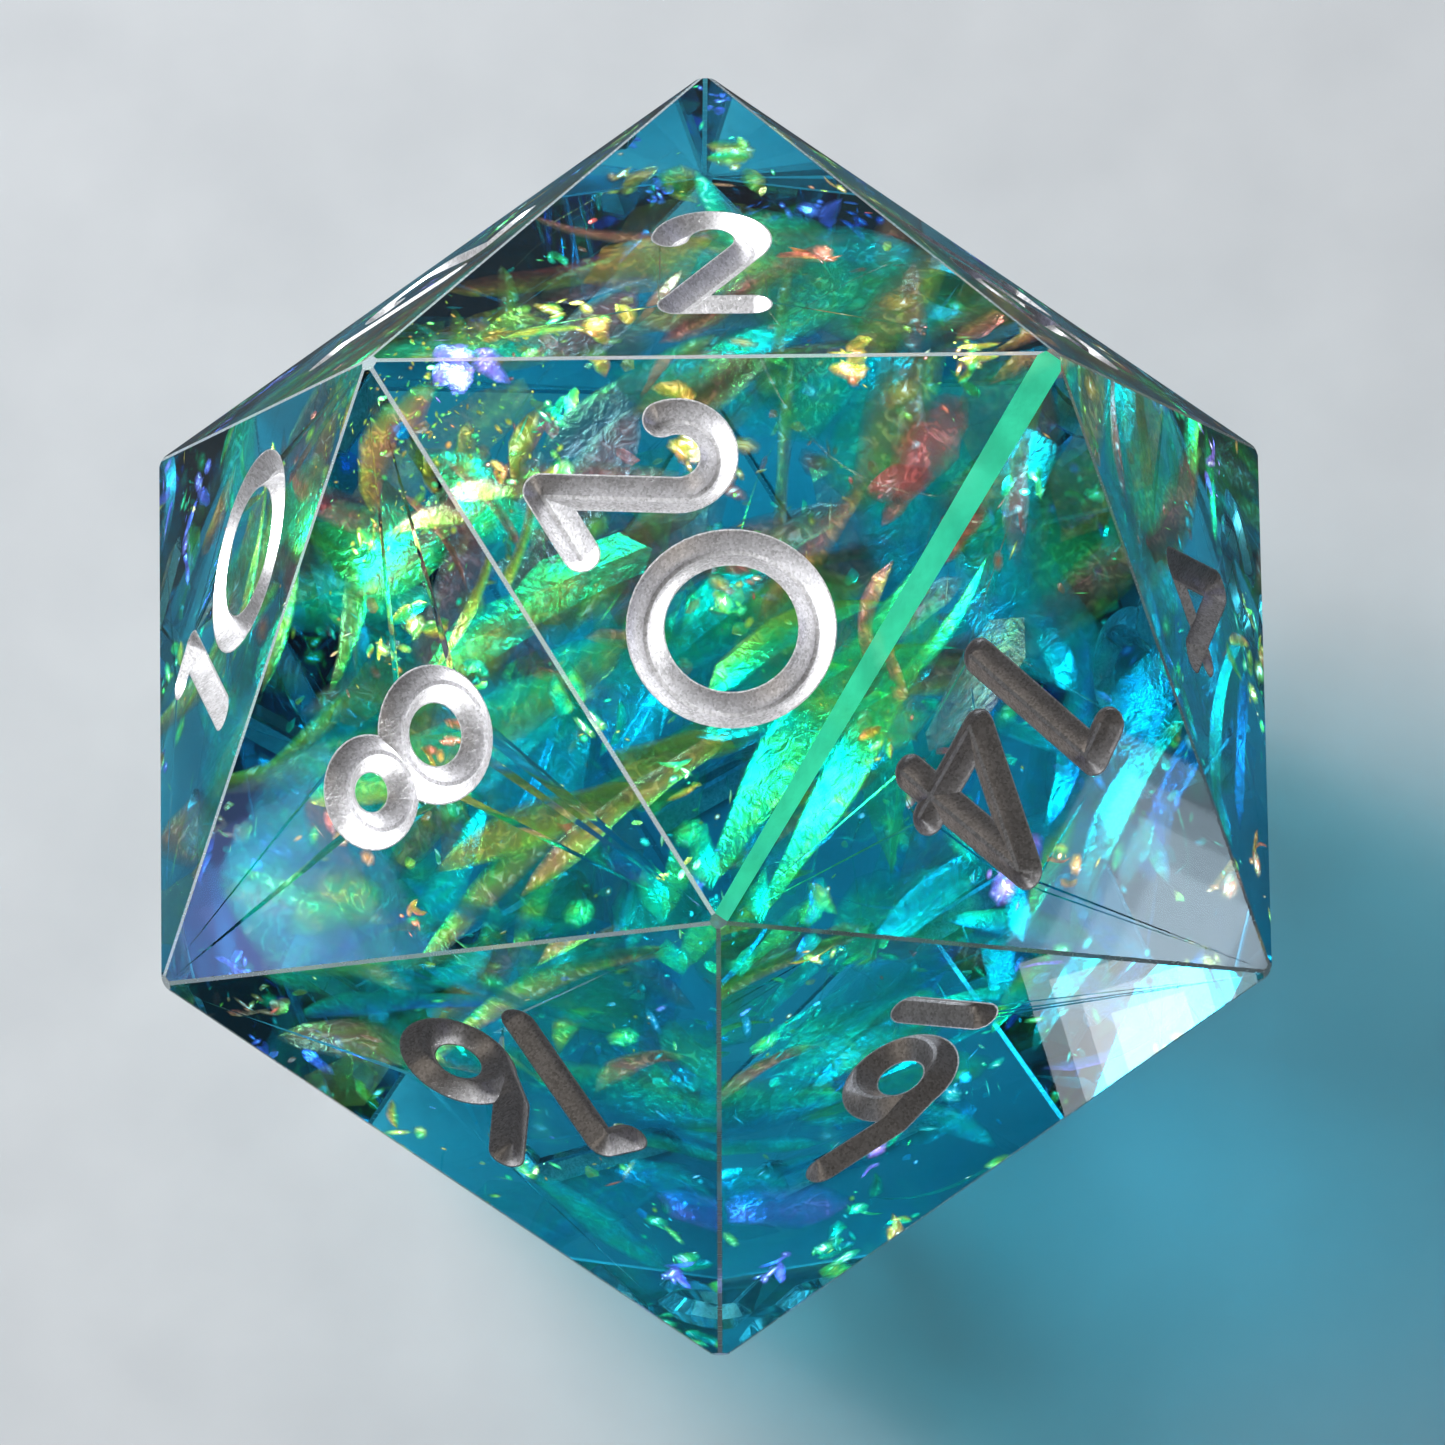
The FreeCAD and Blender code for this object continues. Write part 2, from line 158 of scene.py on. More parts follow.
def resin_material(name, tint, roughness, clearness=1.0, nicks=0.0, gloss=0.5, glow=0.0):
    """Clear resin, tinted through its depth, with hairline scratches.

    Lamps light what is inside it. Worn resin has nicks this deep, and a painted glow in patches: light
    that the surface gives off itself, not light from any lamp.
    """
    material, tree = new_material(name)
    place = object_coordinates(tree)
    clear = node(tree, "ShaderNodeBsdfPrincipled", Base_Color=(*tint, 1), IOR=1.5)
    clear.inputs["Transmission Weight"].default_value = clearness
    clear.inputs["Specular IOR Level"].default_value = gloss
    lines = node(tree, "ShaderNodeMath", operation="MAXIMUM")
    tree.links.new(hairlines(tree, place, (0.2, 0.5, 0.9)), lines.inputs[0])
    tree.links.new(hairlines(tree, place, (1.1, -0.7, 2.1)), lines.inputs[1])
    rough = node(tree, "ShaderNodeMath", operation="MULTIPLY_ADD")
    rough.inputs[1].default_value = SCRATCH_ROUGHNESS
    rough.inputs[2].default_value = roughness
    tree.links.new(lines.outputs[0], rough.inputs[0])
    tree.links.new(rough.outputs[0], clear.inputs["Roughness"])
    if nicks:
        bumped(tree, clear, noise(tree, place, 7000.0, 3.0), 0.3, nicks)
        # Painted glow: the surface gives off light in patches, between a dim and a full copy of its tint.
        glow_patches = noise(tree, place, 900.0, 5.0)
        dim_glow_colour = [0.45 * value for value in tint]
        painted_glow_colour = ramp(tree, glow_patches, [(0.35, dim_glow_colour), (0.65, tint)])
        tree.links.new(painted_glow_colour.outputs[0], clear.inputs["Emission Color"])
        clear.inputs["Emission Strength"].default_value = glow
        material.cycles.emission_sampling = "NONE"
    lamps = node(tree, "ShaderNodeBsdfTransparent", Color=(0.92, 0.98, 0.98, 1))
    path = node(tree, "ShaderNodeLightPath")
    mix = node(tree, "ShaderNodeMixShader")
    tree.links.new(path.outputs["Is Shadow Ray"], mix.inputs[0])
    tree.links.new(clear.outputs[0], mix.inputs[1])
    tree.links.new(lamps.outputs[0], mix.inputs[2])
    depth = node(tree, "ShaderNodeVolumeAbsorption", Color=DEPTH_COLOUR, Density=DEPTH_DENSITY)
    tree.links.new(depth.outputs[0], surface(tree, mix).inputs["Volume"])
    return material


def paint_material():
    """Silver metallic paint with a fine glitter grain."""
    material, tree = new_material("silver_paint")
    place = object_coordinates(tree)
    flakes = node(tree, "ShaderNodeTexVoronoi", Scale=22000.0)
    tree.links.new(place, flakes.inputs["Vector"])
    blend = node(tree, "ShaderNodeMix", data_type="FLOAT")
    blend.inputs[0].default_value = 0.4
    tree.links.new(flakes.outputs["Color"], blend.inputs[2])
    tree.links.new(noise(tree, place, 2500.0, 3.0), blend.inputs[3])
    colour = ramp(tree, blend.outputs[0], [(0.2, (0.55, 0.55, 0.56)), (0.7, (0.97, 0.97, 1.0))])
    metal = node(tree, "ShaderNodeBsdfPrincipled", Metallic=1.0, Roughness=0.4)
    tree.links.new(colour.outputs[0], metal.inputs["Base Color"])
    bumped(tree, metal, flakes.outputs["Color"], 0.8, 0.01 * MM)
    surface(tree, metal)
    return material


# The hues that the film shifts through, from one end of its range to the other.
RAINBOW = [
    (0.0, (0.95, 0.12, 0.1)), (0.14, (1.0, 0.24, 0.12)), (0.27, (1.0, 0.5, 0.08)),
    (0.36, (0.8, 0.8, 0.08)), (0.44, (0.15, 0.9, 0.18)), (0.55, (0.0, 0.85, 0.45)),
    (0.68, (0.0, 0.7, 0.75)), (0.85, (0.02, 0.4, 1.0)), (1.0, (0.4, 0.25, 1.0)),
]
# How brightly a full flash shines: a painted glint, light that the film gives off itself, not from any
# lamp.
FLASH_LIGHT = 3.5
# The resin takes most of the red out of what is seen through it, so the painted flashes have more of it.
FLASH_TINT = (1.7, 1.05, 1.0)


def film_material(slot, seed):
    """Iridescent film: a wrinkled tinted mirror, partly see-through.

    Each point of a piece says how far along the rainbow it is, how solid, and how bright it flashes. The
    flashes are painted glints: light that the film gives off itself in patches, whiter where brighter.
    """
    material, tree = new_material("iridescent_" + slot)
    place = object_coordinates(tree, seed)
    hue = node(tree, "ShaderNodeAttribute", attribute_name="hue")
    body = node(tree, "ShaderNodeAttribute", attribute_name="body")
    flash = node(tree, "ShaderNodeAttribute", attribute_name="flash")
    drift = node(tree, "ShaderNodeMath", operation="MULTIPLY_ADD")
    drift.inputs[1].default_value = 0.3
    tree.links.new(noise(tree, place, 1500.0, 3.0, 1.5), drift.inputs[0])
    tree.links.new(hue.outputs["Fac"], drift.inputs[2])
    tint = ramp(tree, drift.outputs[0], RAINBOW)
    # Painted glints: the flash, patched by noise, is given off as light and turns white as it grows.
    painted_glint_noise = noise(tree, place, 2100.0, 2.0, 2.5)
    glint = ramp(tree, painted_glint_noise, [(0.5, (0.35, 0.35, 0.35)), (0.66, (1, 1, 1))])
    painted_glint_strength = node(tree, "ShaderNodeMath", operation="MULTIPLY")
    tree.links.new(flash.outputs["Fac"], painted_glint_strength.inputs[0])
    tree.links.new(glint.outputs[0], painted_glint_strength.inputs[1])
    glint_whiteness = node(tree, "ShaderNodeMath", operation="POWER")
    glint_whiteness.inputs[1].default_value = 3.0
    tree.links.new(painted_glint_strength.outputs[0], glint_whiteness.inputs[0])
    painted_glint_colour = node(tree, "ShaderNodeMix", data_type="RGBA")
    painted_glint_colour.inputs[7].default_value = (1, 1, 1, 1)
    tree.links.new(glint_whiteness.outputs[0], painted_glint_colour.inputs[0])
    tree.links.new(tint.outputs[0], painted_glint_colour.inputs[6])
    red_boosted_glint = node(tree, "ShaderNodeVectorMath", operation="MULTIPLY")
    red_boosted_glint.inputs[1].default_value = FLASH_TINT
    tree.links.new(painted_glint_colour.outputs[2], red_boosted_glint.inputs[0])
    light = node(tree, "ShaderNodeVectorMath", operation="SCALE")
    tree.links.new(red_boosted_glint.outputs[0], light.inputs[0])
    tree.links.new(painted_glint_strength.outputs[0], light.inputs["Scale"])
    shine = node(tree, "ShaderNodeBsdfPrincipled", Metallic=0.8, Roughness=0.25)
    tree.links.new(tint.outputs[0], shine.inputs["Base Color"])
    tree.links.new(light.outputs[0], shine.inputs["Emission Color"])
    shine.inputs["Emission Strength"].default_value = FLASH_LIGHT
    bumped(tree, shine, noise(tree, place, 3000.0, 3.0, 1.2), 0.7, 0.06 * MM)
    through = node(tree, "ShaderNodeBsdfTransparent", Color=(0.8, 0.88, 0.88, 1))
    mix = node(tree, "ShaderNodeMixShader")
    tree.links.new(body.outputs["Fac"], mix.inputs[0])
    tree.links.new(through.outputs[0], mix.inputs[1])
    tree.links.new(shine.outputs[0], mix.inputs[2])
    surface(tree, mix)
    material.cycles.emission_sampling = "NONE"
    return material


def matt_material(name, grain_scale, detail, roughness, dark, pale):
    """A matt surface, mottled between two close colours."""
    material, tree = new_material(name)
    grain = node(tree, "ShaderNodeTexNoise", Scale=grain_scale, Detail=detail)
    colour = ramp(tree, grain.outputs["Fac"], [(0.3, dark), (0.7, pale)])
    matt = node(tree, "ShaderNodeBsdfPrincipled", Roughness=roughness)
    tree.links.new(colour.outputs[0], matt.inputs["Base Color"])
    surface(tree, matt)
    return material


# ---- the faces ---------------------------------------------------------------------------

def face_frame(number):
    """A face's own frame: X across, Y up to the corner its digits point to, Z outward."""
    mount = next(m for m in frame["record"]["mounts"] if m["name"] == "rest_face_%02d" % number)
    outward = Vector(mount["axis"]).normalized()
    middle = CENTRE + outward * INSIDE
    up = (Vector(mount["pos_m"]) - middle).normalized()
    across = up.cross(outward)
    turn = Matrix((across, up, outward)).transposed().to_4x4()
    return Matrix.Translation(middle) @ turn


# The distance from a face's centre to its corners, in the icosahedron with this inner radius.
CORNER_REACH = INSIDE * (3 - math.sqrt(5))


def face_corners(number):
    """A face's three corners."""
    place = face_frame(number)
    reach = Vector((0, CORNER_REACH, 0))
    return [place @ (Matrix.Rotation(math.radians(120 * turn), 3, "Z") @ reach) for turn in range(3)]


FACE_WAYS = [face_frame(number).to_3x3() @ Vector((0, 0, 1)) for number in range(1, 21)]


# ---- the resin and the paint ------------------------------------------------------------

def islands(mesh):
    """The connected parts of a mesh, as lists of vertices."""
    mesh.verts.ensure_lookup_table()
    seen = set()
    parts = []
    for start in mesh.verts:
        if start in seen:
            continue
        seen.add(start)
        part = [start]
        for vertex in part:
            for edge in vertex.link_edges:
                other = edge.other_vert(vertex)
                if other not in seen:
                    seen.add(other)
                    part.append(other)
        parts.append(part)
    return parts


# The flats along the worn edges stand further from the centre than the faces do, by this much.
EDGE_STAND = 1.03
# Vertices closer than this are the same one.
SAME_POINT = 1e-7
# The casting's material slots after the first, which is the polished resin. Both carry a painted glow.
WORN, MATT = 1, 2


def resin_piece():
    """The casting without the thin hollows that its film fills: its outer skin alone."""
    source = frame["nodes"]["resin_body"]
    skin = bmesh.new()
    skin.from_mesh(source.data)
    bmesh.ops.remove_doubles(skin, verts=skin.verts, dist=SAME_POINT)
    parts = sorted(islands(skin), key=len)
    hollows = [vertex for part in parts[:-1] for vertex in part]
    bmesh.ops.delete(skin, geom=hollows, context="VERTS")
    mesh = bpy.data.meshes.new("resin_casting")
    skin.to_mesh(mesh)
    skin.free()
    piece = bpy.data.objects.new("resin_casting", mesh)
    bpy.context.scene.collection.objects.link(piece)
    mesh.materials.append(resin_material("polished_resin", (0.4, 0.83, 0.9), 0.015))
    # The worn flats have real nicks and a faint painted glow. The matt flat has a strong green painted
    # glow, standing in for light from the film inside.
    mesh.materials.append(resin_material(
        "worn_resin_painted_glow", (0.62, 0.75, 0.82), 0.25, clearness=0.8, nicks=0.02 * MM, glow=0.07))
    mesh.materials.append(resin_material(
        "matt_resin_painted_glow", (0.06, 0.95, 0.55), 0.3, clearness=0.6, nicks=0.02 * MM, gloss=0.1, glow=0.42))
    wide_flat = (FACE_WAYS[20 - 1] + FACE_WAYS[14 - 1]).normalized()
    for polygon in mesh.polygons:
        stand = (polygon.center - CENTRE).dot(polygon.normal)
        if stand > INSIDE * EDGE_STAND:
            polygon.material_index = MATT if polygon.normal.dot(wide_flat) > 0.999 else WORN
    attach(piece, "root")
    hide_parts("resin_body")


def paint_numerals():
    """Silver paint on the CAD's own numerals."""
    material = paint_material()
    for name, item in frame["nodes"].items():
        if name.startswith("number_paint_"):
            item.data.materials.clear()
            item.data.materials.append(material)


# ---- the film ---------------------------------------------------------------------------

# Film of one slot: where its hues lie along the rainbow, how far they stray from there, and how
# brightly it flashes with its painted glow.
Family = namedtuple("Family", "hue stray glow")
FAMILIES = {
    "film_copper": Family(0.0, 0.09, 0.26), "film_gold": Family(0.2, 0.1, 0.22),
    "film_green": Family(0.42, 0.08, 0.09), "film_blue": Family(0.5, 0.08, 0.09),
}
FILM_MATERIALS = {slot: film_material(slot, index) for index, slot in enumerate(FAMILIES)}
# The hue of the wide patches between the ribbons, and how far from the centre film keeps inside.
PATCH_HUE = 0.42
FILM_LIMIT = INSIDE - 0.55 * MM
# The length of one row of a ribbon's faces.
ROW_LENGTH = 0.5 * MM
FLECK_SIDES = 7
# The first seeds of each kind of film; each piece, glint or face counts on from there.
SCRAP_SEED = 11
WISP_SEED = 101
GLINT_SEED = 301
STREWN_SEED = 501
DUST_SEED = 7


def kept_inside(place):
    """A point pulled in until it is inside the resin, clear of the engraved numerals."""
    offset = place - CENTRE
    worst = max(offset.dot(way) for way in FACE_WAYS)
    if worst > FILM_LIMIT:
        offset = offset * (FILM_LIMIT / worst)
    return CENTRE + offset


def drift_angle(spot):
    """The way that stirring drew the film out at a place, as an angle from the X axis."""
    x, y = (spot - CENTRE).xy / INSIDE
    if y < -0.4:
        return 0.15
    return 0.5 + 0.75 * (x + 0.4)


def turned(rng, spot, heading_spread, tilt_spread):
    """A place for a scrap: drawn out along the drift, and tilted by chance."""
    heading = drift_angle(spot) + rng.gauss(0, heading_spread)
    return (Matrix.Translation(spot) @ Matrix.Rotation(heading, 4, "Z")
            @ Matrix.Rotation(rng.gauss(0, tilt_spread), 4, "X")
            @ Matrix.Rotation(rng.gauss(0, tilt_spread * 0.7), 4, "Y"))


def scattered(rng, spot, spread):
    """A point near a place."""
    return spot + Vector([rng.gauss(0, spread) for axis in range(3)])


class Film:
    """Film under construction. Its points carry their hue, how solid they are, and their flash: the
    strength of their painted glow.
    """

    def __init__(self):
        self.mesh = bmesh.new()
        layers = self.mesh.verts.layers.float
        self.hue = layers.new("hue")
        self.body = layers.new("body")
        self.flash = layers.new("flash")

    def point(self, place, hue, body, flash):
        vertex = self.mesh.verts.new(kept_inside(place))
        vertex[self.hue] = hue
        vertex[self.body] = body
        vertex[self.flash] = flash
        return vertex

    def ribbon(self, rng, place, length, width, hue, spread, body, flash, columns=5):
        """A long curved strip with pleats along it. Its hue shifts across it."""
        rows = max(6, round(length / ROW_LENGTH))
        # Its bend, its sway to a side and its twist, as angles for each metre of its length.
        bend = rng.choice((-1, 1)) * rng.uniform(0.5, 1.4) / length
        sway = rng.gauss(0, 0.45) / length
        twist = rng.gauss(0, 0.7) / length
        pleat = rng.uniform(0.1, 0.3) * width / columns
        # The higher this is, the further out towards its sides it stays solid.
        hardness = rng.choice((2, 3, 8))
        phase = rng.uniform(0, 6.28)
        grid = []
        for row in range(rows + 1):
            along = 2 * row / rows - 1
            run = length / 2 * along
            taper = math.sqrt(max(0.0, 1 - along ** 2))
            ragged = 1 + 0.18 * math.sin(5.1 * along + phase)
            line = []
            for column in range(columns + 1):
                across = 2 * column / columns - 1
                side = across * width / 2 * (0.08 + 0.92 * taper * ragged)
                fold = pleat * taper * (-1) ** column
                local = Matrix.Rotation(twist * run, 3, "X") @ Vector((0, side, fold))
                local += Vector((run - sway * run * side, sway * run ** 2 / 2, -bend * run ** 2 / 2))
                solid = body * (1 - abs(across) ** hardness * 0.9) * min(1.0, 2.2 * taper)
                # The painted glow wavers along and across the strip.
                glow = flash * (1 + 0.8 * math.sin(3 * along + 2 * across + phase))
                line.append(self.point(place @ local, hue + spread * across / 2, solid, glow))
            grid.append(line)
        for first, second in zip(grid, grid[1:]):
            for column in range(columns):
                face = self.mesh.faces.new(
                    (first[column], first[column + 1], second[column + 1], second[column]))
                face.smooth = True

    def pane(self, rng, place, length, width, hue, body, flash, folds):
        """A flat scrap folded along straight lines, with sharp creases between flat facets."""
        sheet = folded_scrap(rng, length, width, folds, 0.25)
        copies = {}
        # Its hue drifts along it, and its rim is fainter than its middle.
        for vertex in sheet.verts:
            shift = 0.12 * vertex.co.x / length
            rim = 0.35 if vertex.is_boundary else 1.0
            copies[vertex] = self.point(
                place @ vertex.co, hue + shift, body * rim, flash * rng.uniform(0.4, 1.6))
        for face in sheet.faces:
            self.mesh.faces.new([copies[vertex] for vertex in face.verts])
        sheet.free()

    def spark(self, rng, place, radius, hue, flash):
        """A fleck with a painted glint: it glows brightest in its middle, fading to its rim."""
        middle = self.point(place @ Vector((0, 0, 0)), hue, 1.0, flash)
        start = rng.uniform(0, 6.28)
        reach = rng.uniform(0.25, 0.9)
        rim = []
        for turn in range(FLECK_SIDES):
            angle = start + 2 * math.pi * turn / FLECK_SIDES
            spot = Vector((radius * math.cos(angle), radius * reach * math.sin(angle), 0))
            rim.append(self.point(place @ spot, hue, 0.0, 0.4))
        for first, second in zip(rim, rim[1:] + rim[:1]):
            self.mesh.faces.new((middle, first, second))

    def finish(self, name, slot):
        """Make the piece."""
        mesh = bpy.data.meshes.new(name)
        self.mesh.to_mesh(mesh)
        self.mesh.free()
        mesh.materials.append(FILM_MATERIALS[slot])
        piece = bpy.data.objects.new(name, mesh)
        bpy.context.scene.collection.objects.link(piece)
        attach(piece, "root")
        return piece


def folded_scrap(rng, length, width, folds, slope):
    """A many-sided scrap, divided by its folds and raised into flat facets."""
    sheet = bmesh.new()
    count = rng.randint(5, 8)
    corners = []
    for turn in range(count):
        angle = 2 * math.pi * (turn + rng.uniform(-0.3, 0.3)) / count
        reach = rng.uniform(0.7, 1.05)
        corners.append(sheet.verts.new(
            (length / 2 * reach * math.cos(angle), width / 2 * reach * math.sin(angle), 0)))
    sheet.faces.new(corners)
    creases = []
    for fold in range(folds):
        angle = rng.gauss(1.3, 0.6)
        normal = Vector((math.cos(angle), math.sin(angle), 0))
        offset = rng.uniform(-0.45, 0.45) * (length * abs(normal.x) + width * abs(normal.y))
        creases.append((normal, offset, rng.uniform(-slope, slope)))
        bmesh.ops.bisect_plane(sheet, geom=sheet.verts[:] + sheet.edges[:] + sheet.faces[:],
                               plane_co=normal * offset, plane_no=normal)
    for vertex in sheet.verts:
        flat = vertex.co.copy()
        vertex.co.z = sum(tilt * abs(flat.dot(normal) - offset) for normal, offset, tilt in creases)
    return sheet


def long_ribbon(film, rng, spot, family):
    """The scrap's longest strip."""
    place = turned(rng, spot, 0.35, 0.35)
    length = rng.uniform(3.5, 8) * MM
    width = rng.uniform(0.6, 1.5) * MM
    hue = rng.gauss(family.hue, family.stray)
    spread = rng.uniform(-0.35, 0.35)
    body = rng.uniform(0.4, 0.8)
    film.ribbon(rng, place, length, width, hue, spread, body, family.glow * rng.uniform(0.5, 2.0))


def narrow_ribbon(film, rng, spot, family):
    """A shorter strip beside it."""
    place = turned(rng, scattered(rng, spot, 1.2 * MM), 0.6, 0.4)
    length = rng.uniform(2, 5) * MM
    width = rng.uniform(0.25, 0.8) * MM
    hue = rng.gauss(family.hue, family.stray)
    spread = rng.uniform(-0.3, 0.3)
    body = rng.uniform(0.4, 0.85)
    flash = family.glow * rng.uniform(0.5, 2.5)
    film.ribbon(rng, place, length, width, hue, spread, body, flash, columns=3)


def wide_patch(film, rng, spot, family):
    """A broad, mostly clear piece of green film."""
    place = turned(rng, scattered(rng, spot, 1.5 * MM), 0.8, 0.35)
    length = rng.uniform(3, 5) * MM
    width = rng.uniform(1.8, 3.4) * MM
    hue = rng.gauss(PATCH_HUE, 0.09)
    spread = rng.uniform(-0.15, 0.15)
    body = rng.uniform(0.3, 0.55)
    flash = family.glow * rng.uniform(0.3, 1.2)
    film.ribbon(rng, place, length, width, hue, spread, body, flash, columns=7)


def folded_pane(film, rng, spot, family):
    """A flat piece with sharp creases."""
    place = turned(rng, scattered(rng, spot, 1.5 * MM), 0.8, 0.5)
    length = rng.uniform(2, 4.5) * MM
    width = rng.uniform(1, 2.6) * MM
    hue = rng.gauss(family.hue + 0.08, family.stray)
    film.pane(rng, place, length, width, hue, rng.uniform(0.2, 0.45), family.glow, folds=4)


def sliver(film, rng, spot, family):
    """A hair-thin strip."""
    place = turned(rng, scattered(rng, spot, 1.5 * MM), 1.0, 0.4)
    length = rng.uniform(2, 5) * MM
    hue = rng.gauss(family.hue, family.stray)
    film.ribbon(rng, place, length, 0.05 * MM, hue, 0, 0.8, 0.14, columns=1)


def crumbs(film, rng, spot, family, count=8):
    """Small folded scraps strewn about."""
    for crumb in range(count):
        place = turned(rng, scattered(rng, spot, 1.8 * MM), 1.5, 0.8)
        length = rng.uniform(0.15, 0.6) * MM
        width = length * rng.uniform(0.3, 0.8)
        hue = rng.gauss(family.hue, 2 * family.stray)
        film.pane(rng, place, length, width, hue, 0.9, rng.uniform(0.1, 0.8), folds=2)


def flecks(film, rng, heart, family, count=7):
    """A cluster of flecks, most of them small."""
    for fleck in range(count):
        place = turned(rng, scattered(rng, heart, 0.4 * MM), 1.5, 0.7)
        radius = (0.07 + 0.4 * rng.random() ** 3) * MM
        film.spark(rng, place, radius, rng.gauss(family.hue, 1.6 * family.stray), rng.uniform(0.3, 1.15))


def film_scraps():
    """In the place of each shard of the frame, a wisp of film torn into ribbons and crumbs."""
    slots = {part["node"]: part["material_slot"] for part in frame["record"]["subparts"]}
    names = sorted(name for name in frame["nodes"] if name.startswith("film_shard_"))
    for index, name in enumerate(names):
        rng = random.Random(index + SCRAP_SEED)
        low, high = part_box(name)
        spot = (Vector(low) + Vector(high)) / 2
        family = FAMILIES[slots[name]]
        film = Film()
        long_ribbon(film, rng, spot, family)
        narrow_ribbon(film, rng, spot, family)
        if rng.random() < 0.6:
            wide_patch(film, rng, spot, family)
        folded_pane(film, rng, spot, family)
        sliver(film, rng, spot, family)
        crumbs(film, rng, spot, family)
        flecks(film, rng, scattered(rng, spot, 1.5 * MM), family)
        piece = film.finish("film_scrap_%02d" % (index + 1), slots[name])
        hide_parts(name)


def upper_corners():
    """The nine corners above the face that the die rests on."""
    corners = []
    for number in (20, 2, 14, 8, 16, 6, 18, 12):
        for corner in face_corners(number):
            if all((corner - other).length > 1 * MM for other in corners):
                corners.append(corner)
    return corners


def corner_slot(corner):
    """Gold film on the left, copper at the back, green and blue towards the right and the front."""
    x, y = (corner - CENTRE).xy / INSIDE
    if x - y > 0.3:
        return "film_blue" if y < 0 else "film_green"
    if x - y < -0.3 and x < 0.2:
        return "film_gold"
    return "film_copper"


def film_wisps():
    """Wisps and flecks that drifted into the upper corners."""
    for index, corner in enumerate(upper_corners()):
        rng = random.Random(index + WISP_SEED)
        slot = corner_slot(corner)
        family = FAMILIES[slot]
        film = Film()
        for wisp in range(5):
            depth = rng.uniform(0.55, 0.8)
            spot = scattered(rng, CENTRE + (corner - CENTRE) * depth, 0.8 * MM)
            place = turned(rng, spot, 0.9, 0.5)
            length = rng.uniform(1.2, 3.5) * MM
            width = rng.uniform(0.3, 1.3) * MM
            hue = rng.gauss(family.hue, 1.5 * family.stray)
            spread = rng.uniform(-0.3, 0.3)
            body = rng.uniform(0.3, 0.8)
            flash = family.glow * rng.uniform(0.5, 2)
            film.ribbon(rng, place, length, width, hue, spread, body, flash, columns=4)
        for fleck in range(9):
            depth = rng.uniform(0.5, 0.88)
            spot = scattered(rng, CENTRE + (corner - CENTRE) * depth, 0.8 * MM)
            place = turned(rng, spot, 1.5, 0.7)
            radius = (0.07 + 0.3 * rng.random() ** 3) * MM
            hue = rng.gauss(family.hue, 1.6 * family.stray)
            film.spark(rng, place, radius, hue, rng.uniform(0.3, 1.1))
        film.finish("film_wisp_%02d" % (index + 1), slot)


# The brightest painted glints under the upper faces, film that gives off light itself: where each lies
# from the die's centre, its hue, and its size, in millimetres. Under the other faces they are strewn by
# chance.
UPPER_GLINTS = [
    ((-4.8, 3.7, 8.8), 0.9, 0.42), ((-3.2, 2.9, 8.8), 0.36, 0.24), ((-4.0, 1.8, 8.6), 0.1, 0.22),
    ((-2.8, 1.8, 8.8), 0.26, 0.3), ((-0.4, 2.4, 8.8), 0.2, 0.45), ((0.2, -0.9, 8.8), 0.34, 0.26),
    ((-0.6, -4.3, 8.8), 0.3, 0.24), ((-6.6, 1.0, 7.8), 0.2, 0.26), ((-5.6, -0.8, 7.9), 0.22, 0.34),
    ((-6.2, -1.1, 7.3), 0.24, 0.2), ((-4.5, -1.8, 8.2), 0.34, 0.24), ((-2.3, -3.3, 9.0), 0.32, 0.36),
    ((-5.0, -3.0, 7.4), 0.0, 0.36), ((-5.7, -6.1, 5.6), 0.0, 0.22), ((-3.1, 5.2, 7.9), 0.2, 0.5),
    ((-2.2, 4.7, 8.3), 0.12, 0.42), ((2.2, 6.8, 6.4), -0.05, 0.34), ((2.8, 3.7, 8.9), 0.12, 0.28),
    ((5.0, 3.9, 8.8), 0.24, 0.26), ((6.0, 1.8, 8.6), 0.38, 0.24), ((5.4, -5.6, 5.9), 0.9, 0.46),
    ((6.8, -4.9, 5.2), 0.12, 0.28), ((2.9, -3.6, 8.6), 0.3, 0.24), ((2.9, -9.0, 1.2), 0.9, 0.3),
    ((1.7, -7.2, 7.3), 0.22, 0.3), ((-3.4, -9.1, 0.4), 0.28, 0.3), ((9.2, 4.9, 0.2), 0.9, 0.4),
]
OTHER_FACES = (1, 3, 5, 7, 9, 11, 12, 13, 15, 17, 18, 19)
STREWN_HUES = (0.0, 0.12, 0.22, 0.34, 0.9)


def strewn_glints():
    """Three glints under each of the other faces, given like the rest."""
    glints = []
    for number in OTHER_FACES:
        rng = random.Random(number + STREWN_SEED)
        for glint in range(3):
            across = rng.gauss(0, 2.2) * MM
            up = rng.gauss(0, 2.2) * MM
            spot = face_frame(number) @ Vector((across, up, -1.1 * MM))
            glints.append(((spot - CENTRE) / MM, rng.choice(STREWN_HUES), rng.uniform(0.2, 0.42)))
    return glints


def hue_slot(hue):
    """The slot whose film has this hue."""
    if hue < 0.15:
        return "film_copper"
    if hue < 0.3:
        return "film_gold"
    return "film_green" if hue < 0.5 else "film_blue"


